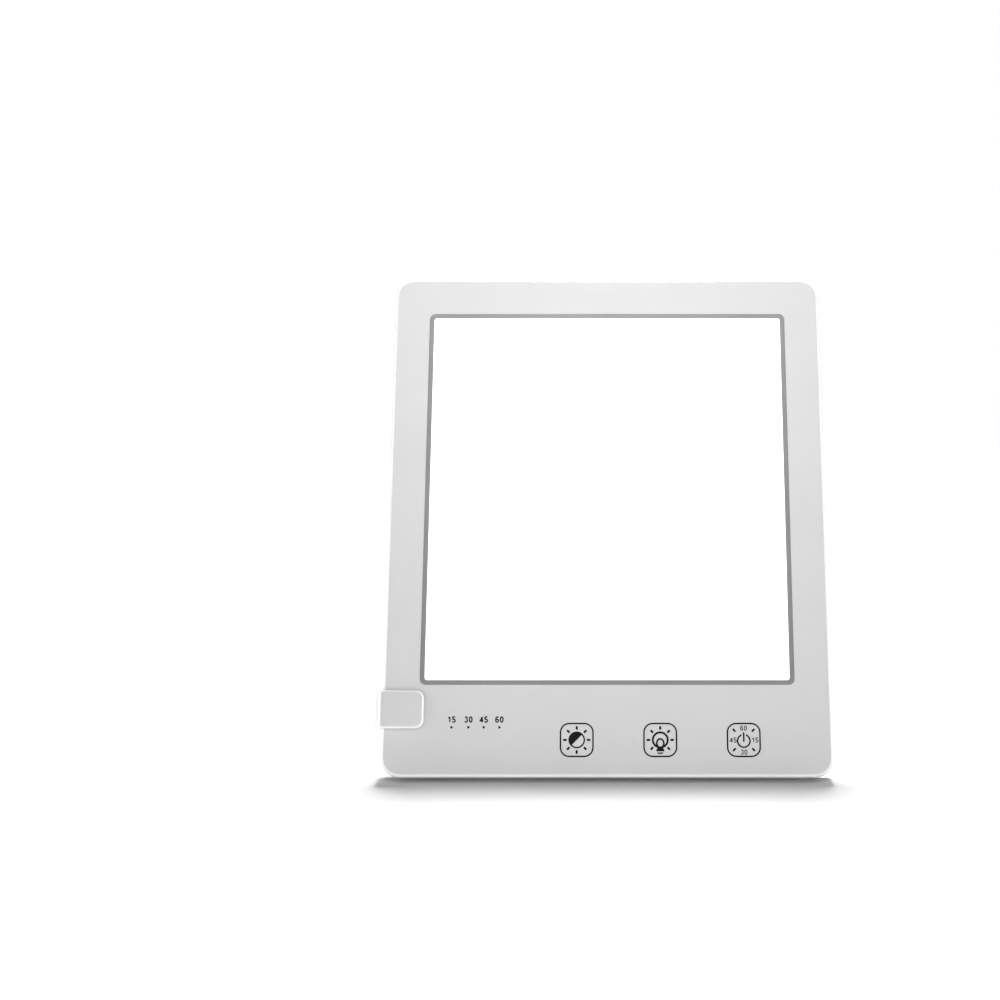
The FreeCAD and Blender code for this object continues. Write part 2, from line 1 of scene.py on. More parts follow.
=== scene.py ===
# %% [markdown]
# # A slim light panel on a clip-on leg
# The object is a thin white panel with a lit opal window, touch keys printed on its chin, and a small clip whose
# folding leg props it leaning back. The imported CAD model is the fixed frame: it says where everything is. This file
# makes the looks around it: the shells with their rounded edges, the printed marks, and a finish for every part.
# %% Load the frame
import json
import math

import bmesh
import bpy
from mathutils import Matrix, Vector


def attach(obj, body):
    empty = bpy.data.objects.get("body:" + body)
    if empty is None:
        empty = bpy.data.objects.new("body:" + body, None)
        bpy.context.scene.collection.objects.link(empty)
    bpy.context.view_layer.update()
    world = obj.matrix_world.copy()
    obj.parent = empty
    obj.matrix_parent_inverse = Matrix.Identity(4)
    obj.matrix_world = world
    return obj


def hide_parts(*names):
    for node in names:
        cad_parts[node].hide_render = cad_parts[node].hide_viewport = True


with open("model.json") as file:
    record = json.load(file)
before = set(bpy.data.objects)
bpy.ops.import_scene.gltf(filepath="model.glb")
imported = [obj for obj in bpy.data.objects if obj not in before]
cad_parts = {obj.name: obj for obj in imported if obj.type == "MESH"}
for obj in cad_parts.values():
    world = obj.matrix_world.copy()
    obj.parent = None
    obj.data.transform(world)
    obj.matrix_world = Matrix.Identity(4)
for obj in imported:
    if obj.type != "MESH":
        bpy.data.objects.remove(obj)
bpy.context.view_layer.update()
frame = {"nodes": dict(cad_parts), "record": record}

# %% [markdown]
# ## The panel's own upright frame
# The panel leans back, which makes every size awkward to write. A maker would draw it upright and lean it at the end,
# so the pieces here are drawn upright in millimetres (x across, y into the panel, z up from its lower edge), and one
# matrix leans them and shrinks them to metres. The lean comes from the window's mount, the place from the side frame.
# %% Find the lean and the panel's corner
mounts = {mount["name"]: mount for mount in frame["record"]["mounts"]}
facing = Vector(mounts["light_window"]["axis"])
lean = math.atan2(facing.z, -facing.y)
lean_turn = Matrix.Rotation(-lean, 4, "X")
MM = 0.001


def spread(node, matrix):
    """Lowest and highest corner of a CAD node's points, seen through a matrix."""
    points = [matrix @ vertex.co for vertex in frame["nodes"][node].data.vertices]
    low = Vector([min(point[axis] for point in points) for axis in range(3)])
    high = Vector([max(point[axis] for point in points) for axis in range(3)])
    return low, high


frame_low, frame_high = spread("side_frame", lean_turn.inverted())
corner = Vector(((frame_low.x + frame_high.x) / 2, frame_low.y, frame_low.z))
to_world = Matrix.Translation(lean_turn @ corner) @ lean_turn @ Matrix.Scale(MM, 4)
to_panel = to_world.inverted()


def local_box(node):
    """Where a CAD node lies in the upright frame, in millimetres."""
    return spread(node, to_panel)


panel_low, panel_high = local_box("side_frame")
outer_width = panel_high.x - panel_low.x
outer_height = panel_high.z
outer_depth = panel_high.y
print("lean in degrees:", round(math.degrees(lean), 2))
print("panel in millimetres:", [round(v, 2) for v in (outer_width, outer_depth, outer_height)])

# %% [markdown]
# ## The camera
# The camera stands a little over half a metre away with a slightly long lens. It looks from about two thirds of the
# panel's height and is tipped down by a few degrees. It is placed along its own view line from the panel's lower
# front edge, and its shift puts the panel right of the middle without turning it.
# %% Place the camera
view_pitch = math.radians(3.1)
view_distance = 0.590
view_rise = 0.1114
view_lens = 52.3
view_shift = -0.1071
rim_width = 1.3

edge = to_world @ Vector((0, 0, rim_width))
forward = Vector((0, math.cos(view_pitch), -math.sin(view_pitch)))
upward = Vector((0, math.sin(view_pitch), math.cos(view_pitch)))
bpy.ops.object.camera_add(location=edge - forward * view_distance + upward * view_rise,
                          rotation=(math.pi / 2 - view_pitch, 0, 0))
camera = bpy.context.active_object
camera.name = "camera"
camera.data.lens = view_lens
camera.data.shift_x = view_shift
camera.data.clip_start = 0.01
bpy.context.scene.camera = camera
print("camera at", [round(v, 4) for v in camera.location])

# %% [markdown]
# ## Light and floor
# White plastic only shows its shape where the light falls off. The flat front is kept a little darker than the edges:
# a lamp in front and above is aimed at the top of the panel, a level fill from straight in front lifts the rest, a
# high light from behind whitens the upper edges and throws a short shadow forward, and a low light from each side
# brightens the rounded edges. Sun lamps with a wide angle act as soft boxes that are far away, so the floor is lit
# evenly. The world shows plain white to the camera and in reflections through the Light Path node.
# %% World, lamps and floor
def link(tree, start, end):
    """Join two sockets."""
    tree.links.new(start, end)


def add_world(strength):
    """An even, weak light that looks pure white wherever it is seen or mirrored."""
    world = bpy.data.worlds.new("studio")
    world.use_nodes = True
    bpy.context.scene.world = world
    tree = world.node_tree
    tree.nodes.clear()
    path = tree.nodes.new("ShaderNodeLightPath")
    seen = tree.nodes.new("ShaderNodeMath")
    seen.operation = "MAXIMUM"
    link(tree, path.outputs["Is Camera Ray"], seen.inputs[0])
    link(tree, path.outputs["Is Transmission Ray"], seen.inputs[1])
    mirrored = tree.nodes.new("ShaderNodeMath")
    mirrored.operation = "MAXIMUM"
    link(tree, seen.outputs[0], mirrored.inputs[0])
    link(tree, path.outputs["Is Glossy Ray"], mirrored.inputs[1])
    light = tree.nodes.new("ShaderNodeBackground")
    light.inputs["Color"].default_value = (1, 1, 1, 1)
    light.inputs["Strength"].default_value = strength
    white = tree.nodes.new("ShaderNodeBackground")
    white.inputs["Color"].default_value = (1, 1, 1, 1)
    white.inputs["Strength"].default_value = 1.0
    mix = tree.nodes.new("ShaderNodeMixShader")
    link(tree, mirrored.outputs[0], mix.inputs[0])
    link(tree, light.outputs[0], mix.inputs[1])
    link(tree, white.outputs[0], mix.inputs[2])
    output = tree.nodes.new("ShaderNodeOutputWorld")
    link(tree, mix.outputs[0], output.inputs["Surface"])


def add_sun(name, height, turn, softness, strength):
    """A far-away soft light: its height and its turn from straight in front towards the right, in degrees."""
    bpy.ops.object.light_add(type="SUN", location=(0, 0, 1))
    lamp = bpy.context.active_object
    lamp.name = name
    lamp.data.angle = math.radians(softness)
    lamp.data.energy = strength
    level = math.cos(math.radians(height))
    toward = Vector((level * math.sin(math.radians(turn)), -level * math.cos(math.radians(turn)),
                     math.sin(math.radians(height))))
    lamp.rotation_euler = (-toward).to_track_quat("-Z", "Y").to_euler()
    return lamp


def add_soft_box(name, place, aim, size, power, spread_angle):
    """A square lamp turned towards a point, with a grid that keeps its light within a narrow cone."""
    bpy.ops.object.light_add(type="AREA", location=place)
    lamp = bpy.context.active_object
    lamp.name = name
    lamp.data.size = size
    lamp.data.energy = power
    lamp.data.spread = math.radians(spread_angle)
    lamp.visible_camera = False
    lamp.rotation_euler = (Vector(aim) - Vector(place)).to_track_quat("-Z", "Y").to_euler()
    return lamp


def add_floor(half_size):
    """A pale floor that keeps the object's shadow and turns plain white further out."""
    bpy.ops.mesh.primitive_plane_add(size=2 * half_size, location=(0, 0, 0))
    floor = bpy.context.active_object
    floor.name = "floor"
    material = bpy.data.materials.new("floor_white")
    material.use_nodes = True
    tree = material.node_tree
    shader = tree.nodes["Principled BSDF"]
    shader.inputs["Roughness"].default_value = 0.9
    shader.inputs["Specular IOR Level"].default_value = 0.1
    place = tree.nodes.new("ShaderNodeTexCoord")
    noise = tree.nodes.new("ShaderNodeTexNoise")
    noise.inputs["Scale"].default_value = 3.0
    link(tree, place.outputs["Object"], noise.inputs["Vector"])
    tone = tree.nodes.new("ShaderNodeValToRGB")
    tone.color_ramp.elements[0].color = (0.79, 0.79, 0.79, 1)
    tone.color_ramp.elements[1].color = (0.82, 0.82, 0.82, 1)
    link(tree, noise.outputs["Fac"], tone.inputs["Fac"])
    link(tree, tone.outputs["Color"], shader.inputs["Base Color"])
    path = tree.nodes.new("ShaderNodeLightPath")
    distance = tree.nodes.new("ShaderNodeVectorMath")
    distance.operation = "LENGTH"
    link(tree, place.outputs["Object"], distance.inputs[0])
    away = tree.nodes.new("ShaderNodeMapRange")
    away.interpolation_type = "SMOOTHSTEP"
    away.inputs["From Min"].default_value = 0.15
    away.inputs["From Max"].default_value = 0.6
    link(tree, distance.outputs["Value"], away.inputs["Value"])
    glow = tree.nodes.new("ShaderNodeMath")
    glow.operation = "MULTIPLY"
    link(tree, path.outputs["Is Camera Ray"], glow.inputs[0])
    link(tree, away.outputs["Result"], glow.inputs[1])
    shader.inputs["Emission Color"].default_value = (1, 1, 1, 1)
    link(tree, glow.outputs[0], shader.inputs["Emission Strength"])
    floor.data.materials.append(material)
    return floor


add_world(0.05)
add_soft_box("top_box", (0, -1.0, 1.0), (0, 0.05, 0.22), 0.25, 0.34, 36)
add_sun("front_fill", height=0, turn=0, softness=40, strength=0.72)
add_sun("back_light", height=69, turn=180, softness=11, strength=3.6)
for side in (-1, 1):
    add_sun("side_light", height=5, turn=side * 68, softness=22, strength=1.15)
add_floor(half_size=6.0)
scene = bpy.context.scene
scene.view_settings.view_transform = "Standard"

# %% [markdown]
# ## How a finish is built
# Real moulded parts are never one flat colour: the tone drifts a little over the surface, and a fine grain breaks up
# the gloss. Both are noise on the object's own coordinates, so they stay put from every side. One helper makes the
# common tree, and each finish below says its own colours, grain and gloss.
# %% Helpers for materials
def grained(name, dark, light, grain=0.35, gloss=(0.42, 0.5), depth=0.004, drift=25.0):
    """A Principled material with a drifting tone, a fine grain in the gloss and a shallow bump."""
    material = bpy.data.materials.new(name)
    material.use_nodes = True
    tree = material.node_tree
    shader = tree.nodes["Principled BSDF"]
    place = tree.nodes.new("ShaderNodeTexCoord")
    patches = tree.nodes.new("ShaderNodeTexNoise")
    patches.inputs["Scale"].default_value = 1 / (drift * MM)
    patches.inputs["Detail"].default_value = 3.0
    fine = tree.nodes.new("ShaderNodeTexNoise")
    fine.inputs["Scale"].default_value = 1 / (grain * MM)
    fine.inputs["Detail"].default_value = 2.0
    for noise in (patches, fine):
        link(tree, place.outputs["Object"], noise.inputs["Vector"])
    tone = tree.nodes.new("ShaderNodeValToRGB")
    tone.color_ramp.elements[0].position = 0.3
    tone.color_ramp.elements[0].color = (*dark, 1)
    tone.color_ramp.elements[1].position = 0.7
    tone.color_ramp.elements[1].color = (*light, 1)
    link(tree, patches.outputs["Fac"], tone.inputs["Fac"])
    link(tree, tone.outputs["Color"], shader.inputs["Base Color"])
    spreadout = tree.nodes.new("ShaderNodeMapRange")
    spreadout.inputs["To Min"].default_value = gloss[0]
    spreadout.inputs["To Max"].default_value = gloss[1]
    link(tree, fine.outputs["Fac"], spreadout.inputs["Value"])
    link(tree, spreadout.outputs["Result"], shader.inputs["Roughness"])
    bump = tree.nodes.new("ShaderNodeBump")
    bump.inputs["Strength"].default_value = 0.6
    bump.inputs["Distance"].default_value = depth * MM
    link(tree, fine.outputs["Fac"], bump.inputs["Height"])
    link(tree, bump.outputs["Normal"], shader.inputs["Normal"])
    return material


def grey(value, warm=0.0):
    """A neutral colour, or one that leans a little to yellow."""
    return (value, value * (1 - warm * 0.3), value * (1 - warm))


def shader_of(material):
    """The material's main shader."""
    return material.node_tree.nodes["Principled BSDF"]


# %% [markdown]
# ## The finishes
# The frame, the clip and the leg are white plastic with a fine grain. The frame has a glossy front edge and a satin
# wall, and the wall is painted darker as painted shade beside the brighter edge. The clip is a shade darker, with
# painted highlights along its edges, which an attribute on the clip marks. The front panel is a smoother light grey.
# The opal window is lit from behind, so it carries its own light. Metals get a high metallic value, rubber is dark and
# dull, and the parts inside keep the colours they have on a work bench.
# %% Finishes of the visible parts
def coated(material):
    """The polished skin of a glossy moulding, which brightens its rounded edges."""
    shader = shader_of(material)
    shader.inputs["Coat Weight"].default_value = 0.7
    shader.inputs["Coat Roughness"].default_value = 0.15
    shader.inputs["Coat IOR"].default_value = 1.5
    return material


def moulded_white():
    """White casing plastic with a fine grain."""
    return coated(grained("moulded_white", grey(0.91), grey(0.93), grain=0.4, gloss=(0.2, 0.26), depth=0.003))


def wall_painted_shade():
    """The outer wall behind the glossy front edge: satin, and painted a little darker as painted shade."""
    return grained("wall_painted_shade", grey(0.70), grey(0.73), grain=0.4, gloss=(0.34, 0.42), depth=0.005)


def painted_edge_highlight(material, tone, start, end):
    """Paint a highlight onto a finish: brighten it between two turns, in degrees, of the surface away from the panel's
    front or back.
    """
    tree = material.node_tree
    shader = shader_of(material)
    plain = shader.inputs["Base Color"].links[0].from_socket
    turn = tree.nodes.new("ShaderNodeAttribute")
    turn.attribute_name = "edge_turn"
    highlight_amount = tree.nodes.new("ShaderNodeMapRange")
    highlight_amount.interpolation_type = "SMOOTHSTEP"
    highlight_amount.inputs["From Min"].default_value = 1 - math.cos(math.radians(start))
    highlight_amount.inputs["From Max"].default_value = 1 - math.cos(math.radians(end))
    link(tree, turn.outputs["Fac"], highlight_amount.inputs["Value"])
    mix = tree.nodes.new("ShaderNodeMixRGB")
    link(tree, highlight_amount.outputs["Result"], mix.inputs["Fac"])
    link(tree, plain, mix.inputs["Color1"])
    mix.inputs["Color2"].default_value = (*tone, 1)
    link(tree, mix.outputs["Color"], shader.inputs["Base Color"])
    return material


def clip_white():
    """The clip: glossy plastic a shade darker than the frame, with painted highlights along its edges and its roll."""
    plain = grained("clip_white", grey(0.575), grey(0.595), grain=0.4, gloss=(0.2, 0.26), depth=0.003)
    # The clip's edges and roll are painted brighter than its face: a painted highlight.
    return coated(painted_edge_highlight(plain, grey(0.9), 3, 27))


def leg_white():
    """The leg: the clip's plastic without the painted edge highlights."""
    return coated(grained("leg_white", grey(0.63), grey(0.65), grain=0.4, gloss=(0.2, 0.26), depth=0.003))


def cover_grey():
    """The back cover: a shade darker than the frame, with the same fine grain."""
    return grained("cover_grey", grey(0.66), grey(0.69), grain=0.4, gloss=(0.34, 0.42), depth=0.005)


def panel_grey():
    """The smoother light grey of the front panel."""
    return grained("panel_grey", grey(0.61), grey(0.625), grain=0.25, gloss=(0.42, 0.5), depth=0.002)


def line_grey():
    """The darker grey of the line round the window."""
    return grained("line_grey", grey(0.19), grey(0.21), grain=0.3, gloss=(0.35, 0.45), depth=0.004)


def lit_opal():
    """Milky acrylic, lit from behind: bright all over, a trace softer in patches."""
    material = grained("lit_opal", grey(0.90), grey(0.93), grain=0.3, gloss=(0.3, 0.36), depth=0.001)
    tree = material.node_tree
    shader = shader_of(material)
    place = next(node for node in tree.nodes if node.type == "TEX_COORD")
    cloud = tree.nodes.new("ShaderNodeTexNoise")
    cloud.inputs["Scale"].default_value = 1 / (40 * MM)
    glow = tree.nodes.new("ShaderNodeValToRGB")
    glow.color_ramp.elements[0].color = (0.96, 0.97, 0.98, 1)
    glow.color_ramp.elements[1].color = (1.0, 1.0, 1.0, 1)
    link(tree, place.outputs["Object"], cloud.inputs["Vector"])
    link(tree, cloud.outputs["Fac"], glow.inputs["Fac"])
    link(tree, glow.outputs["Color"], shader.inputs["Emission Color"])
    shader.inputs["Emission Strength"].default_value = 0.9
    return material


def printed_ink():
    """Nearly black screen-printing ink."""
    material = grained("printed_ink", grey(0.003), grey(0.006), grain=0.2, gloss=(0.6, 0.7), depth=0.003, drift=4.0)
    shader_of(material).inputs["Specular IOR Level"].default_value = 0.1
    return material


def soft_rubber():
    """Dull mid-grey rubber."""
    return grained("soft_rubber", grey(0.10), grey(0.13), grain=0.3, gloss=(0.7, 0.85), depth=0.02, drift=6.0)


def smoked_pin():
    """The dark polished ends of the light pipes."""
    return grained("smoked_pin", grey(0.006), grey(0.012), grain=0.3, gloss=(0.15, 0.22), depth=0.001, drift=2.0)


# %% Finishes of metal and of the parts inside
def metal(name, dark, light, gloss, grain=0.3, depth=0.003):
    """A grained material turned into a metal."""
    material = grained(name, dark, light, grain=grain, gloss=gloss, depth=depth, drift=8.0)
    shader_of(material).inputs["Metallic"].default_value = 1.0
    return material


def bare_aluminium():
    """Rolled sheet, as it comes from the mill."""
    return metal("bare_aluminium", grey(0.74), grey(0.80), (0.3, 0.42))


def plated_steel():
    """Bright zinc or nickel on steel."""
    return metal("plated_steel", grey(0.56), grey(0.64), (0.2, 0.32))


def clear_sheet():
    """Thin optical film or acrylic: very pale, glossy and slightly see-through."""
    material = grained("clear_sheet", grey(0.86), grey(0.9), grain=0.5, gloss=(0.08, 0.14), depth=0.001)
    shader_of(material).inputs["Transmission Weight"].default_value = 0.5
    return material


def bright_white():
    """The reflector sheet, the white LED boards and the tape."""
    return grained("bright_white", grey(0.86), grey(0.9), gloss=(0.4, 0.5), depth=0.002)


def solder_mask():
    """Green board lacquer over copper tracks, which show as slightly lighter lines."""
    return grained("solder_mask", (0.008, 0.085, 0.03), (0.015, 0.13, 0.05), gloss=(0.2, 0.3), drift=2.5)


def led_phosphor():
    """The yellow phosphor of a white LED."""
    return grained("led_phosphor", (0.78, 0.62, 0.12), (0.86, 0.72, 0.2), gloss=(0.3, 0.4), drift=1.5)


def heat_tape():
    """Grey heat-conducting tape."""
    return grained("heat_tape", grey(0.25), grey(0.3), gloss=(0.7, 0.8), depth=0.01, drift=3.0)


def amber_film():
    """Amber polyimide of a flat lead."""
    return grained("amber_film", (0.48, 0.17, 0.015), (0.58, 0.24, 0.03), gloss=(0.18, 0.28), drift=3.0)


def cream_plastic():
    """The plugs on the board."""
    return grained("cream_plastic", (0.72, 0.67, 0.5), (0.78, 0.73, 0.58), drift=3.0)


def black_moulding():
    """Black moulded plastic of chips and of the socket's core."""
    return grained("black_moulding", grey(0.012), grey(0.02), gloss=(0.45, 0.6), depth=0.005, drift=3.0)


def dark_foam():
    """Conductive foam behind the keys: open, dull and rough."""
    return grained("dark_foam", grey(0.02), grey(0.06), grain=0.5, gloss=(0.85, 0.95), depth=0.12, drift=1.0)


def gold_plate():
    """Thin gold on the socket's contacts."""
    return metal("gold_plate", (0.86, 0.58, 0.2), (0.92, 0.66, 0.26), (0.18, 0.28))


def pale_acetal():
    """Slippery off-white plastic of the hinge washers."""
    return grained("pale_acetal", grey(0.74, 0.04), grey(0.8, 0.04), drift=2.0)


# %% [markdown]
# ## Which finish goes where
# A CAD node keeps its own shape, so its finish is simply assigned to its material slot. The list follows the record's
# sub-parts, which makes it easy to see that nothing is forgotten.
# %% Give every CAD node its finish
finishes = {
    "moulded_white": ["side_frame"],
    "cover_grey": ["back_cover"],
    "clip_white": ["edge_clip"],
    "leg_white": ["prop_leg"],
    "panel_grey": ["front_panel"],
    "line_grey": ["window_gasket"],
    "lit_opal": ["opal_diffuser"],
    "soft_rubber": ["clip_pad_front", "clip_pad_rear", "leg_foot_pad"],
    "smoked_pin": ["timer_light_pipes"],
    "bare_aluminium": ["backlight_tray", "capacitors"],
    "plated_steel": ["tray_screws", "board_screws", "usb_shell", "hinge_pin"],
    "clear_sheet": ["diffuser_film", "prism_film", "light_guide"],
    "bright_white": ["reflector_sheet", "front_tape_ring", "led_board_left", "led_board_right"],
    "solder_mask": ["control_board"],
    "led_phosphor": ["led_row_left", "led_row_right", "timer_leds"],
    "heat_tape": ["led_tape_left", "led_tape_right"],
    "amber_film": ["led_flex_left", "led_flex_right"],
    "cream_plastic": ["led_plug_left", "led_plug_right"],
    "black_moulding": ["timer_baffle", "touch_control_chip", "led_driver_chip", "usb_tongue", "power_inductor"],
    "dark_foam": ["touch_pad_brightness", "touch_pad_lamp", "touch_pad_timer"],
    "pale_acetal": ["hinge_washers"],
}
makers = [moulded_white, wall_painted_shade, clip_white, leg_white, cover_grey, panel_grey, line_grey, lit_opal, printed_ink,
          soft_rubber, smoked_pin, bare_aluminium, plated_steel, clear_sheet, bright_white, solder_mask,
          led_phosphor, heat_tape, amber_film, cream_plastic, black_moulding, dark_foam, gold_plate, pale_acetal]
finish_by_name = {maker.__name__: maker() for maker in makers}
node_finish = {node: name for name, nodes in finishes.items() for node in nodes}
for node, piece in frame["nodes"].items():
    piece.data.materials.clear()
    piece.data.materials.append(finish_by_name[node_finish[node]])
print("finished", len(node_finish), "nodes of", len(frame["nodes"]))

# %% [markdown]
# ## How a piece is modelled
# Each piece starts as a cube or a disc and is shaped with the same tools as by hand: edges are picked by their place
# and bevelled, faces are inset, and one body is cut from another with a Boolean modifier. These helpers keep every
# step short. `stand` leans the finished piece into the world and puts its place into its mesh.
# %% Helpers for modelling
def deselect():
    """Leave edit mode and select nothing."""
    if bpy.context.object and bpy.context.object.mode == "EDIT":
        bpy.ops.object.mode_set(mode="OBJECT")
    bpy.ops.object.select_all(action="DESELECT")


def pick(piece):
    """Make one piece the only selected one."""
    deselect()
    piece.select_set(True)
    bpy.context.view_layer.objects.active = piece


def settle():
    """Put the active piece's place, turn and size into its mesh."""
    bpy.ops.object.transform_apply(location=True, rotation=True, scale=True)


def edit_all(piece):
    """Open a piece in edit mode with all of it selected."""
    pick(piece)
    bpy.ops.object.mode_set(mode="EDIT")
    bpy.ops.mesh.select_all(action="SELECT")


def cuboid(name, low, high):
    """A cube primitive stretched between two corners, with its place in its mesh."""
    deselect()
    low, high = Vector(low), Vector(high)
    bpy.ops.mesh.primitive_cube_add(size=1, location=(low + high) / 2)
    piece = bpy.context.active_object
    piece.name = name
    piece.scale = high - low
    settle()
    return piece


def bevel_where(piece, wanted, offset, segments):
    """Bevel the edges for which wanted(first point, second point) is true."""
    pick(piece)
    bpy.ops.object.mode_set(mode="EDIT")
    bpy.ops.mesh.select_mode(type="EDGE")
    bpy.ops.mesh.select_all(action="DESELECT")
    mesh = bmesh.from_edit_mesh(piece.data)
    for line in mesh.edges:
        if wanted(line.verts[0].co, line.verts[1].co):
            line.select_set(True)
    bmesh.update_edit_mesh(piece.data)
    bpy.ops.mesh.bevel(offset=offset, segments=segments, affect="EDGES", clamp_overlap=True)
    bpy.ops.object.mode_set(mode="OBJECT")


def slab(name, low, high, radius, segments=12):
    """A cuboid whose four corners are round when seen from the front."""
    piece = cuboid(name, low, high)
    if radius > 0:
        bevel_where(piece, lambda a, b: abs(a.y - b.y) > 1e-4, radius, segments)
    return piece


def inset_slab(name, low, high, inset, start, end, radius, segments=12):
    """A slab that keeps a distance inside a box seen from the front, from one depth to another."""
    return slab(name, (low.x + inset, start, low.z + inset), (high.x - inset, end, high.z - inset),
                radius, segments)


def at_depth(y):
    """A test for the edges that lie at one depth."""
    return lambda a, b: abs(a.y - y) < 1e-4 and abs(b.y - y) < 1e-4


def apply_all(piece):
    """Apply every modifier of a piece, in order."""
    pick(piece)
    for modifier in list(piece.modifiers):
        bpy.ops.object.modifier_apply(modifier=modifier.name)


def combine(piece, tool, operation):
    """Cut with, add or keep what is shared with a second piece, which is used up."""
    modifier = piece.modifiers.new("combine", "BOOLEAN")
    modifier.operation = operation
    modifier.solver = "EXACT"
    modifier.object = tool
    apply_all(piece)
    bpy.data.objects.remove(tool)
    return piece


def soften(piece, width, segments=3, angle=35, clamp=True):
    """Round all sharp edges a little, as a mould does."""
    modifier = piece.modifiers.new("soften", "BEVEL")
    modifier.width = width
    modifier.segments = segments
    modifier.limit_method = "ANGLE"
    modifier.angle_limit = math.radians(angle)
    modifier.use_clamp_overlap = clamp
    apply_all(piece)
    return piece


def smooth(piece, angle=32):
    """Smooth shading on the rounded stretches, with the large flat faces kept flat."""
    pick(piece)
    bpy.ops.object.shade_smooth_by_angle(angle=math.radians(angle))
    modifier = piece.modifiers.new("flat_faces", "WEIGHTED_NORMAL")
    modifier.keep_sharp = True
    modifier.weight = 100
    apply_all(piece)
    return piece


def join(pieces, name):
    """Make one object of several."""
    deselect()
    for piece in pieces:
        piece.select_set(True)
    bpy.context.view_layer.objects.active = pieces[0]
    bpy.ops.object.join()
    pieces[0].name = name
    return pieces[0]


def outward(piece):
    """Turn all faces of a closed piece outwards."""
    edit_all(piece)
    bpy.ops.mesh.normals_make_consistent(inside=False)
    bpy.ops.object.mode_set(mode="OBJECT")


def stand(piece, body, finish, node=None):
    """Lean a finished piece into place, give it its finish and let it ride on its body."""
    pick(piece)
    piece.matrix_world = to_world @ piece.matrix_world
    settle()
    piece.data.materials.clear()
    piece.data.materials.append(finish_by_name[finish])
    if node:
        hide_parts(node)
    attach(piece, body)
    print(piece.name, "faces", len(piece.data.polygons))
    return piece


# %% [markdown]
# ## The side frame
# On the real panel this is one moulded band: a rounded rim of about a millimetre in front, a softer rounding behind,
# and inside it a ledge for each cover. It could be extruded from an outline, but a slab that is rounded first and then
# hollowed with smaller slabs keeps every rounding even, so that is how it is made. The socket's slot is cut last.
# %% Model the side frame
corner_radius = 8.0
front_edge_radius = 1.2
back_edge_radius = 2.0
plate_thick = 2.0
cover_thick = 2.0
ledge_thick = 1.2
front_ledge_inset = 4.0
wall_thick = 1.8
back_ledge_inset = 4.4
cover_inset = 2.9
recess_depth, recess_length, recess_width = 0.8, 13.3, 4.2
mouth_depth, mouth_length, mouth_width = 6.0, 10.6, 3.6
overlap = 0.1
past = 1.0
plate_back = local_box("front_panel")[0].y + plate_thick


def hollow(piece, inset, start, end):
    """Cut away what lies further inside the outline than a distance, from one depth to another."""
    tool = inset_slab("hollow", panel_low, panel_high, inset, start, end, corner_radius - inset)
    return combine(piece, tool, "DIFFERENCE")


def round_bar(name, start, end, middle, length, width, sides=32):
    """A bar along x with a slot-shaped section: a cylinder whose upper and lower halves are pulled apart."""
    deselect()
    bpy.ops.mesh.primitive_cylinder_add(vertices=sides, radius=width / 2, depth=end - start,
                                        rotation=(0, math.pi / 2, 0))
    piece = bpy.context.active_object
    piece.name = name
    bpy.ops.object.transform_apply(location=False, rotation=True, scale=False)
    piece.rotation_euler.x = math.pi / sides
    bpy.ops.object.transform_apply(location=False, rotation=True, scale=False)
    for side in (-1, 1):
        pick(piece)
        bpy.ops.object.mode_set(mode="EDIT")
        bpy.ops.mesh.select_mode(type="VERT")
        bpy.ops.mesh.select_all(action="DESELECT")
        mesh = bmesh.from_edit_mesh(piece.data)
        for point in mesh.verts:
            point.select_set(point.co.z * side > 0)
        bmesh.update_edit_mesh(piece.data)
        bpy.ops.transform.translate(value=(0, 0, side * (length - width) / 2))
        bpy.ops.object.mode_set(mode="OBJECT")
    piece.location = ((start + end) / 2, middle.y, middle.z)
    pick(piece)
    bpy.ops.object.transform_apply(location=True, rotation=False, scale=False)
    return piece


def side_frame():
    """The white band with both ledges and the socket's slot."""
    seat = local_box("front_tape_ring")[1].y
    cover_front = local_box("back_cover")[1].y - cover_thick
    piece = slab("side_frame_band", panel_low, panel_high, corner_radius, segments=16)
    bevel_where(piece, at_depth(0), front_edge_radius, 6)
    bevel_where(piece, at_depth(outer_depth), back_edge_radius, 8)
    hollow(piece, rim_width, -past, seat)
    hollow(piece, front_ledge_inset, plate_back, seat + ledge_thick)
    hollow(piece, wall_thick, seat + ledge_thick, cover_front - ledge_thick)
    hollow(piece, back_ledge_inset, cover_front - ledge_thick - overlap, cover_front + overlap)
    hollow(piece, cover_inset, cover_front, outer_depth + past)
    shell_low, shell_high = local_box("usb_shell")
    middle = (shell_low + shell_high) / 2
    wall = panel_high.x
    recess = round_bar("recess", wall - recess_depth, wall + past, middle, recess_length, recess_width)
    combine(piece, recess, "DIFFERENCE")
    mouth = round_bar("mouth", wall - mouth_depth, wall, middle, mouth_length, mouth_width)
    combine(piece, mouth, "DIFFERENCE")
    smooth(piece)
    behind = [face.center.y > front_edge_radius for face in piece.data.polygons]
    stand(piece, "panel", "moulded_white", "side_frame")
    # The wall gets a darker copy of the frame's white plastic: painted shade beside the brighter front edge.
    piece.data.materials.append(finish_by_name["wall_painted_shade"])
    for face, satin in zip(piece.data.polygons, behind):
        face.material_index = int(satin)
    return piece


side_frame()

# %% [markdown]
# ## The line round the window
# The dark line is a separate soft strip that keeps dust out of the backlight. It is a ring with a rounded lip in
# front and a flat flange that is trapped behind the front panel. Ring and flange are two slabs made into one, and the
# window's opening is cut through both.
# %% Model the window gasket
gasket_flange = 2.05
line_width = 1.95
line_radius = 2.5
flange_radius = 4.5
window_radius = 1.0
flange_overlap = 0.05


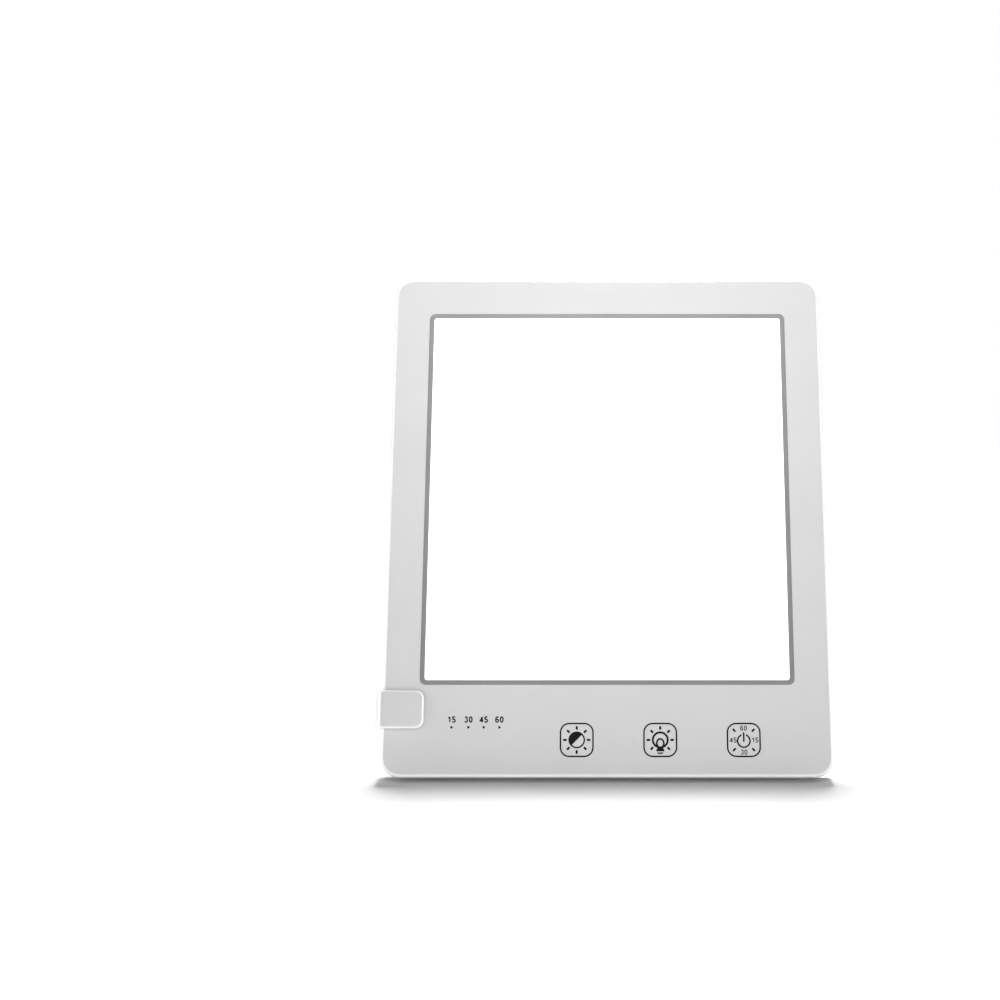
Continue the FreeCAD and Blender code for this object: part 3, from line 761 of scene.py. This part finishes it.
def window_gasket():
    """A ring with a rounded lip and a hidden flange."""
    low, high = local_box("window_gasket")
    piece = inset_slab("window_line", low, high, gasket_flange, low.y, plate_back, line_radius, segments=10)
    combine(piece, inset_slab("flange", low, high, 0, plate_back - flange_overlap, high.y, flange_radius), "UNION")
    hole = inset_slab("window_hole", low, high, gasket_flange + line_width, low.y - past, high.y + past,
                      window_radius, segments=8)
    combine(piece, hole, "DIFFERENCE")
    soften(piece, 0.3, segments=4, angle=50)
    smooth(piece)
    return stand(piece, "panel", "line_grey", "window_gasket")


window_gasket()

# %% [markdown]
# ## The clip
# The clip is a thick U that slips over the left edge. Its bend is a generous roll, its tips are rounded like a
# thumbnail, and all its edges are softened; the bright outline along them is a painted highlight in the finish. A
# cuboid with bevelled bend and tips gives the outside; a slot makes the two jaws; the hinge knuckles are added behind.
# At the end each corner of the mesh is given a number that says how far the surface turns there: the finish reads it
# to paint that highlight.
# %% Model the edge clip
clip_roll = 3.4
clip_tip = 3.3
clip_edge = 1.1
clip_slack = 0.5
clip_side_slack = 0.3
jaw_thick = 2.0
knuckle_length = 4.6
knuckle_step = 0.2
knuckle_root = 0.7
bore_radius = 1.02
pad_radius = 1.5


def upright_bar(name, radius, middle, bottom, top, sides=40):
    """A cylinder along z."""
    deselect()
    bpy.ops.mesh.primitive_cylinder_add(vertices=sides, radius=radius, depth=top - bottom,
                                        location=(middle.x, middle.y, (bottom + top) / 2))
    piece = bpy.context.active_object
    piece.name = name
    settle()
    return piece


def mark_turns(piece):
    """Write how far each corner's normal turns from the front or back, 0 where flat and 1 at a right angle, for the
    painted edge highlight.
    """
    turn = piece.data.attributes.new("edge_turn", "FLOAT", "CORNER")
    for place, normal in zip(turn.data, piece.data.corner_normals):
        place.value = 1 - abs(normal.vector.y)


def edge_clip():
    """The U-shaped clip with two knuckles for the leg."""
    low, high = local_box("edge_clip")
    pin_low, pin_high = local_box("hinge_pin")
    pin = (pin_low + pin_high) / 2
    knuckle_radius = high.y - pin.y
    slot_back = panel_high.y + clip_slack
    jaw_back = slot_back + jaw_thick
    piece = cuboid("edge_clip_shell", low, (high.x, jaw_back, high.z))
    bevel_where(piece, lambda a, b: a.x < low.x + 0.01 and b.x < low.x + 0.01 and abs(a.z - b.z) > 1,
                clip_roll, 12)
    bevel_where(piece, lambda a, b: a.x > high.x - 0.01 and b.x > high.x - 0.01 and abs(a.y - b.y) > 1,
                clip_tip, 12)
    soften(piece, clip_edge, segments=6, angle=40, clamp=False)
    slot = cuboid("slot", (panel_low.x - clip_side_slack, -clip_slack, low.z - past),
                  (high.x + past, slot_back, high.z + past))
    combine(piece, slot, "DIFFERENCE")
    for bottom, top in ((low.z + knuckle_step, low.z + knuckle_length),
                        (high.z - knuckle_length, high.z - knuckle_step)):
        foot = cuboid("foot", (pin.x - knuckle_radius, jaw_back - knuckle_root, bottom),
                      (pin.x + knuckle_radius, pin.y, top))
        combine(foot, upright_bar("barrel", knuckle_radius, pin, bottom, top), "UNION")
        combine(piece, foot, "UNION")
    combine(piece, upright_bar("bore", bore_radius, pin, low.z - past, high.z + past), "DIFFERENCE")
    for pad in ("clip_pad_front", "clip_pad_rear"):
        pad_low, pad_high = local_box(pad)
        combine(piece, slab("pocket", pad_low, pad_high, pad_radius), "DIFFERENCE")
    smooth(piece)
    # The turns mark where the clip's finish paints its edge highlight.
    mark_turns(piece)
    return stand(piece, "clip", "clip_white", "edge_clip")


edge_clip()

# %% [markdown]
# ## The folding leg
# A flat bar that hangs on the clip's pin like a door. Both broad sides are relieved by a long shallow pocket, its
# foot is cut off level with the table, and every edge is broken. The bar is a cuboid with its corners bevelled; the
# level cut is a bisect; the pockets are cut with a smaller copy of the same shape.
# %% Model the leg
leg_edge = 0.45
leg_corner = 3.0
bar_left, bar_right = -88.0, -84.0
bar_gap = 0.6
barrel_radius = 2.6
tongue_step = 5.0
pocket_border = 2.4
pocket_depth = 0.8
pocket_corner = 1.5


def bar_shape(name, x_low, x_high, low, high, radius, sole_height):
    """A bar on edge with round far corners and a lower edge cut level with the table."""
    piece = cuboid(name, (x_low, low.y, low.z), (x_high, high.y, high.z))
    bevel_where(piece, lambda a, b: abs(a.x - b.x) > 1 and a.y > high.y - 0.01, radius, 10)
    edit_all(piece)
    level = to_panel @ Vector((0, 0, sole_height))
    down = Vector((0, math.sin(lean), -math.cos(lean)))
    bpy.ops.mesh.bisect(plane_co=level, plane_no=down, use_fill=True, clear_outer=True)
    bpy.ops.object.mode_set(mode="OBJECT")
    return piece


def prop_leg():
    """The leg with its pockets, tongue, barrel and heel."""
    low, high = local_box("prop_leg")
    pin_low, pin_high = local_box("hinge_pin")
    pin = (pin_low + pin_high) / 2
    bar_start = pin.y + barrel_radius + bar_gap
    sole = spread("leg_foot_pad", Matrix())[1].z
    tongue_bottom = low.z + tongue_step
    tongue_top = high.z - tongue_step
    piece = bar_shape("prop_leg_bar", bar_left, bar_right, Vector((0, bar_start, low.z)), high, leg_corner, sole)
    soften(piece, leg_edge, segments=4, angle=40)
    pocket_low = Vector((0, bar_start + pocket_border, low.z + pocket_border))
    pocket_high = Vector((0, high.y - pocket_border, high.z - pocket_border))
    pocket_sole = sole + pocket_border * MM
    sides = ((bar_left - past, bar_left + pocket_depth), (bar_right - pocket_depth, bar_right + past))
    for left, right in sides:
        pocket = bar_shape("pocket", left, right, pocket_low, pocket_high, pocket_corner, pocket_sole)
        bevel_where(pocket, lambda a, b: abs(a.x - b.x) > 1 and a.y < pocket_low.y + 0.01, pocket_corner, 6)
        combine(piece, pocket, "DIFFERENCE")
    tongue = cuboid("tongue", (pin.x - barrel_radius, pin.y, tongue_bottom),
                    (bar_right, bar_start + past, tongue_top))
    combine(piece, tongue, "UNION")
    combine(piece, upright_bar("barrel", barrel_radius, pin, tongue_bottom, tongue_top), "UNION")
    heel = cuboid("heel", (low.x, low.y, tongue_bottom), (pin.x, pin.y, tongue_top))
    combine(piece, heel, "UNION")
    combine(piece, upright_bar("bore", bore_radius, pin, low.z - past, high.z + past), "DIFFERENCE")
    soften(piece, 0.12, segments=2, angle=50)
    smooth(piece)
    return stand(piece, "leg", "leg_white", "prop_leg")


prop_leg()

# %% [markdown]
# ## Pads, pin and foot
# Rubber pads keep the clip from scratching the panel, a ribbed rubber foot keeps the leg from sliding, and the leg
# turns on a plain steel pin. They are small, but soft edges tell rubber from plastic, so each edge is rounded.
# %% Model the pads, the pin and the foot
foot_corner = 1.2
foot_margin = 3.0
rib_pitch = 2.4
groove_half = 0.3
groove_depth = 0.35


def clip_pad(node):
    """A rubber pad with soft edges and corners."""
    low, high = local_box(node)
    piece = slab(node + "_rubber", low, high, pad_radius, segments=8)
    soften(piece, 0.22, segments=4, angle=50)
    smooth(piece, 40)
    return stand(piece, "clip", "soft_rubber", node)


def hinge_pin():
    """The steel pin with rounded ends."""
    low, high = local_box("hinge_pin")
    piece = upright_bar("hinge_pin_steel", (high.x - low.x) / 2, (low + high) / 2, low.z, high.z)
    soften(piece, 0.25, segments=4, angle=60)
    smooth(piece, 40)
    return stand(piece, "clip", "plated_steel", "hinge_pin")


def leg_foot():
    """The rubber foot, drawn level with the table, with ribs across its underside."""
    low, high = spread("leg_foot_pad", Matrix.Scale(1 / MM, 4))
    piece = cuboid("leg_foot_rubber", low, high)
    bevel_where(piece, lambda a, b: abs(a.z - b.z) > 0.5, foot_corner, 8)
    count = int((high.y - low.y - foot_margin) / rib_pitch)
    start = (low.y + high.y - rib_pitch * (count - 1)) / 2
    middles = [start + rib_pitch * number for number in range(count)]
    cuts = [cuboid("groove", (low.x - past, middle - groove_half, low.z - past),
                   (high.x + past, middle + groove_half, low.z + groove_depth)) for middle in middles]
    combine(piece, join(cuts, "grooves"), "DIFFERENCE")
    soften(piece, 0.1, segments=2, angle=50)
    smooth(piece, 40)
    piece.data.transform(to_panel @ Matrix.Scale(MM, 4))
    return stand(piece, "leg", "soft_rubber", "leg_foot_pad")


clip_pad("clip_pad_front")
clip_pad("clip_pad_rear")
hinge_pin()
leg_foot()

# %% [markdown]
# ## The socket
# A drawn steel shell with a rolled lip stands a little behind the recess, and a black tongue inside it carries twelve
# gilded contacts on each side. The shell is one bar with a slot-shaped section cut from another; a contact is
# modelled once and copied along the tongue.
# %% Model the socket
def usb_shell():
    """The steel shell: a tube that is open at both ends."""
    low, high = local_box("usb_shell")
    middle = (low + high) / 2
    wall = 0.3
    length, width = high.z - low.z, high.y - low.y
    piece = round_bar("usb_shell_steel", low.x, high.x, middle, length, width)
    inside = round_bar("inside", low.x - past, high.x + past, middle, length - 2 * wall, width - 2 * wall)
    combine(piece, inside, "DIFFERENCE")
    soften(piece, 0.1, segments=3, angle=60)
    smooth(piece, 40)
    return stand(piece, "panel", "plated_steel", "usb_shell")


def socket_contacts():
    """Twelve contacts on each side of the tongue."""
    low, high = local_box("usb_tongue")
    middle = (low + high) / 2
    pitch, count, width, proud = 0.5, 12, 0.26, 0.03
    tongue_half = 0.35
    reach, setback = 3.6, 0.5
    contact = cuboid("contact", (high.x - reach, middle.y + tongue_half - proud, middle.z - width / 2),
                     (high.x - setback, middle.y + tongue_half + proud, middle.z + width / 2))
    soften(contact, 0.02, segments=2, angle=50)
    contacts = []
    for side in (-1, 1):
        for number in range(count):
            copy = contact.copy()
            copy.data = contact.data.copy()
            bpy.context.collection.objects.link(copy)
            up = (number - (count - 1) / 2) * pitch
            across = 0 if side > 0 else -2 * tongue_half
            copy.data.transform(Matrix.Translation((0, across, up)))
            contacts.append(copy)
    bpy.data.objects.remove(contact)
    return stand(join(contacts, "socket_contacts"), "panel", "gold_plate")


usb_shell()
socket_contacts()

# %% [markdown]
# ## The front panel
# A flat plate that drops into the frame, with a large opening for the window and four tiny ones for the light pipes.
# It fits so closely that no gap shows: its edge is only broken by a few hundredths of a millimetre. The screw bosses
# behind it are out of sight, so they are a merged copy of the CAD shape, cut off behind the plate and rooted in it.
# %% Model the front panel
plate_gap = 0.02
boss_cut = 0.02
boss_root = 0.2
pipe_hole_radius = 0.55


def rod_through(name, radius, x, z, sides=24):
    """A cylinder through the panel's front."""
    deselect()
    bpy.ops.mesh.primitive_cylinder_add(vertices=sides, radius=radius, depth=8, location=(x, 0, z),
                                        rotation=(math.pi / 2, 0, 0))
    piece = bpy.context.active_object
    piece.name = name
    settle()
    return piece


def dot_middles():
    """The middle of each light pipe, found by sorting its points by gaps in x."""
    points = [to_panel @ vertex.co for vertex in frame["nodes"]["timer_light_pipes"].data.vertices]
    groups = []
    for point in sorted(points, key=lambda p: p.x):
        if not groups or point.x - groups[-1][-1].x > 2.0:
            groups.append([])
        groups[-1].append(point)
    level = (min(p.z for p in points) + max(p.z for p in points)) / 2
    return [((group[0].x + group[-1].x) / 2, level) for group in groups]


dots = dot_middles()
print("light pipes at", [(round(x, 2), round(z, 2)) for x, z in dots])


def bosses_behind(node, depth):
    """The screw bosses behind a plate: a merged copy of the CAD shape, cut off at a depth and rooted in the plate."""
    piece = frame["nodes"][node].copy()
    piece.data = piece.data.copy()
    bpy.context.collection.objects.link(piece)
    piece.data.transform(to_panel)
    edit_all(piece)
    bpy.ops.mesh.remove_doubles(threshold=0.001)
    bpy.ops.mesh.bisect(plane_co=(0, depth, 0), plane_no=(0, 1, 0), use_fill=True, clear_inner=True)
    bpy.ops.object.mode_set(mode="OBJECT")
    for vertex in piece.data.vertices:
        if vertex.co.y < depth + 1e-3:
            vertex.co.y -= boss_root
    outward(piece)
    return piece


def front_panel():
    """The grey plate with its window, four light pipe holes and its screw bosses."""
    low, high = local_box("front_panel")
    gasket_low, gasket_high = local_box("window_gasket")
    inset = rim_width + plate_gap
    piece = inset_slab("front_plate", panel_low, panel_high, inset, low.y, plate_back,
                       corner_radius - inset, segments=16)
    opening = inset_slab("opening", gasket_low, gasket_high, gasket_flange, -past, plate_back + past,
                         line_radius, segments=10)
    combine(piece, opening, "DIFFERENCE")
    for x, z in dots:
        combine(piece, rod_through("pipe_hole", pipe_hole_radius, x, z), "DIFFERENCE")
    soften(piece, 0.04, segments=2, angle=50)
    smooth(piece)
    piece = join([piece, bosses_behind("front_panel", plate_back + boss_cut)], "front_plate")
    return stand(piece, "panel", "panel_grey", "front_panel")


front_panel()

# %% [markdown]
# ## The printed marks
# The key signs and the minute numbers are screen-printed: a layer of ink a few hundredths of a millimetre thick. They
# are modelled as thin real shapes, so they stay sharp from any distance. Rings are one disc cut from another, rays are
# a bar copied round a circle, and the digits are pen strokes: a chain of points that is given thickness and width.
# %% Helpers for printed shapes
ink_thick = 0.03
ink_root = 0.005


def ink_slab(name, left, right, bottom, top, radius=0.0):
    """A printed rectangle, with round corners if wanted."""
    return slab(name, (left, -ink_thick, bottom), (right, ink_root, top), radius, segments=8)


def ink_disc(name, radius, x, z, stretch=1.0, sides=48):
    """A printed disc, or an ellipse when it is stretched upwards."""
    deselect()
    bpy.ops.mesh.primitive_cylinder_add(vertices=sides, radius=radius, depth=ink_thick + ink_root,
                                        location=(x, (ink_root - ink_thick) / 2, z), rotation=(math.pi / 2, 0, 0))
    piece = bpy.context.active_object
    piece.name = name
    piece.scale = (1, stretch, 1)
    settle()
    return piece


def grow(piece, by):
    """Make a cutting shape thicker than the ink, so that it cuts cleanly."""
    pick(piece)
    bpy.ops.transform.resize(value=(1, by, 1))
    settle()
    return piece


def ink_ring(name, radius, stroke, x, z, stretch=1.0):
    """A printed ring."""
    ring = ink_disc(name, radius, x, z, stretch)
    inner_stretch = (radius * stretch - stroke) / (radius - stroke)
    return combine(ring, grow(ink_disc("inside", radius - stroke, x, z, inner_stretch), 3), "DIFFERENCE")


def turned(piece, angle, x, z):
    """Turn a flat shape about a point of the front face."""
    pick(piece)
    piece.data.transform(Matrix.Translation((x, 0, z)) @ Matrix.Rotation(math.radians(angle), 4, "Y")
                         @ Matrix.Translation((-x, 0, -z)))
    return piece


def rays(name, angles, start, end, width, x, z):
    """Printed bars that stand round a point like the rays of a sun."""
    return [turned(ink_slab(name, x - width / 2, x + width / 2, z + start, z + end, width * 0.3), angle, x, z)
            for angle in angles]


def arc(x, z, across, up, start, end, steps=16):
    """Points along part of an ellipse, from one angle to another in degrees."""
    turns = [math.radians(start + (end - start) * step / steps) for step in range(steps + 1)]
    return [(x + across * math.cos(turn), z + up * math.sin(turn)) for turn in turns]


def digit_strokes(digit, weight):
    """The middle lines of a digit that is 1 tall and 0.6 wide, for a pen of some weight."""
    edge = weight / 2
    left, right, middle, top = edge, 0.6 - edge, 0.3, 1 - edge
    half = middle - edge
    strokes = {
        "0": [arc(middle, 0.5, half, 0.5 - edge, 0, 360, 28)],
        "1": [[(0.4, edge), (0.4, top)], [(0.41, 0.95 - edge), (0.12, 0.74)]],
        "3": [arc(middle, 0.74, half - 0.02, 0.26 - edge, 160, -80),
              arc(middle, 0.3, half, 0.3 - edge, 80, -160)],
        "4": [[(0.42, edge), (0.42, top)], [(0.42, top), (left, 0.3), (0.6, 0.3)]],
        "5": [[(right, top), (0.15, top), (0.11, 0.54)],
              arc(0.28, 0.32, right - 0.28, 0.32 - edge, 135, -155)],
        "6": [arc(middle, 0.32, half, 0.32 - edge, 0, 360, 24),
              arc(0.32, 0.5, 0.32 - left, 0.5 - edge, 40, 200)],
    }
    return strokes[digit]


def ink_stroke(points, width):
    """A pen stroke: a chain of points made a strip, which is given its width."""
    mesh = bpy.data.meshes.new("stroke")
    mesh.from_pydata([(x, -ink_thick, z) for x, z in points], [(i, i + 1) for i in range(len(points) - 1)], [])
    piece = bpy.data.objects.new("stroke", mesh)
    bpy.context.collection.objects.link(piece)
    edit_all(piece)
    bpy.ops.mesh.remove_doubles(threshold=0.001)
    bpy.ops.mesh.extrude_edges_move(TRANSFORM_OT_translate={"value": (0, ink_thick + ink_root, 0)})
    bpy.ops.object.mode_set(mode="OBJECT")
    modifier = piece.modifiers.new("width", "SOLIDIFY")
    modifier.thickness = width
    modifier.offset = 0
    modifier.use_even_offset = True
    apply_all(piece)
    outward(piece)
    return piece


def ink_number(words, height, x, z, weight):
    """Printed digits of a given height, centred on a point."""
    advance = 0.72
    width = (advance * (len(words) - 1) + 0.6) * height
    strokes = []
    for place, digit in enumerate(words):
        start = x - width / 2 + place * advance * height
        for points in digit_strokes(digit, weight):
            drawn = [(start + across * height, z + (up - 0.5) * height) for across, up in points]
            strokes.append(ink_stroke(drawn, weight * height))
    return join(strokes, "digits")


def key_outline(name, x, z):
    """The rounded square that shows where to touch."""
    half = key_outline_width / 2
    ring = ink_slab(name, x - half, x + half, z - half, z + half, key_outline_radius)
    inner = half - key_outline_stroke
    inner_radius = key_outline_radius - key_outline_stroke
    inside = ink_slab("inside", x - inner, x + inner, z - inner, z + inner, inner_radius)
    return combine(ring, grow(inside, 3), "DIFFERENCE")


# %% Print the keys and the minute numbers
key_outline_width = 13.9
key_outline_stroke = 0.62
key_outline_radius = 3.9
sign_stroke = 0.62
ray_start, ray_end, ray_width = 4.1, 5.6, 0.85


def middle_of(node):
    """Where a sensing pad's middle lies across the panel and above its lower edge."""
    low, high = local_box(node)
    return (low.x + high.x) / 2, (low.z + high.z) / 2


def brightness_mark():
    """A sun whose upper left half is filled."""
    x, z = middle_of("touch_pad_brightness")
    radius = 3.4
    half = ink_slab("half", x - 5, x + 5, z, z + 5)
    filled = combine(ink_disc("filled", radius - 0.3, x, z), grow(turned(half, -45, x, z), 3), "INTERSECT")
    sun = combine(ink_ring("sun", radius, sign_stroke, x, z), filled, "UNION")
    spokes = rays("ray", range(0, 360, 45), ray_start, ray_end, ray_width, x, z)
    return join([key_outline("outline", x, z), sun, *spokes], "key_mark_brightness")


def lamp_mark():
    """A light bulb with a loop inside, a neck, a foot and seven rays."""
    x, z = middle_of("touch_pad_lamp")
    bulb = ink_ring("bulb", 3.45, 0.82, x, z)
    loop = ink_ring("loop", 1.8, 0.72, x, z - 1.35, stretch=1.18)
    for ring in (bulb, loop):
        combine(ring, grow(ink_slab("opening", x - 1.0, x + 1.0, z - 4, z - 3.3), 3), "DIFFERENCE")
    neck = ink_slab("neck", x - 1.65, x + 1.65, z - 4.6, z - 3.2)
    bevel_where(neck, lambda a, b: abs(a.y - b.y) > 1e-4 and a.z > z - 4, 0.7, 1)
    foot = ink_slab("foot", x - 1.15, x + 1.15, z - 5.6, z - 5.05, 0.2)
    angles = [angle for angle in range(0, 360, 45) if angle != 180]
    spokes = rays("ray", angles, ray_start, ray_end, ray_width, x, z)
    return join([key_outline("outline", x, z), bulb, loop, neck, foot, *spokes], "key_mark_lamp")


def timer_mark():
    """An on-off sign inside a dial of minutes."""
    x, z = middle_of("touch_pad_timer")
    ring = ink_ring("power_ring", 2.85, sign_stroke, x, z - 0.4)
    gap = ink_slab("gap", x - 0.85, x + 0.85, z + 1, z + 4)
    combine(ring, grow(gap, 3), "DIFFERENCE")
    bar = ink_slab("bar", x - 0.32, x + 0.32, z - 0.8, z + 3.15, 0.2)
    ticks = rays("tick", (45, 135, 225, 315), 4.7, 6.35, 0.78, x, z)
    minutes = [("60", 0, 4.75), ("15", 4.6, -0.05), ("30", 0, -4.9), ("45", -4.35, -0.05)]
    digits = [ink_number(words, 2.1, x + across, z + up, 0.165) for words, across, up in minutes]
    return join([key_outline("outline", x, z), ring, bar, *ticks, *digits], "key_mark_timer")


def minute_numbers():
    """The bold minute numbers above the light pipes."""
    above, height, weight = 3.15, 2.65, 0.2
    numbers = [ink_number(words, height, x, z + above, weight)
               for words, (x, z) in zip(("15", "30", "45", "60"), dots)]
    return join(numbers, "minute_numbers")


for mark in (brightness_mark(), lamp_mark(), timer_mark(), minute_numbers()):
    stand(mark, "panel", "printed_ink")
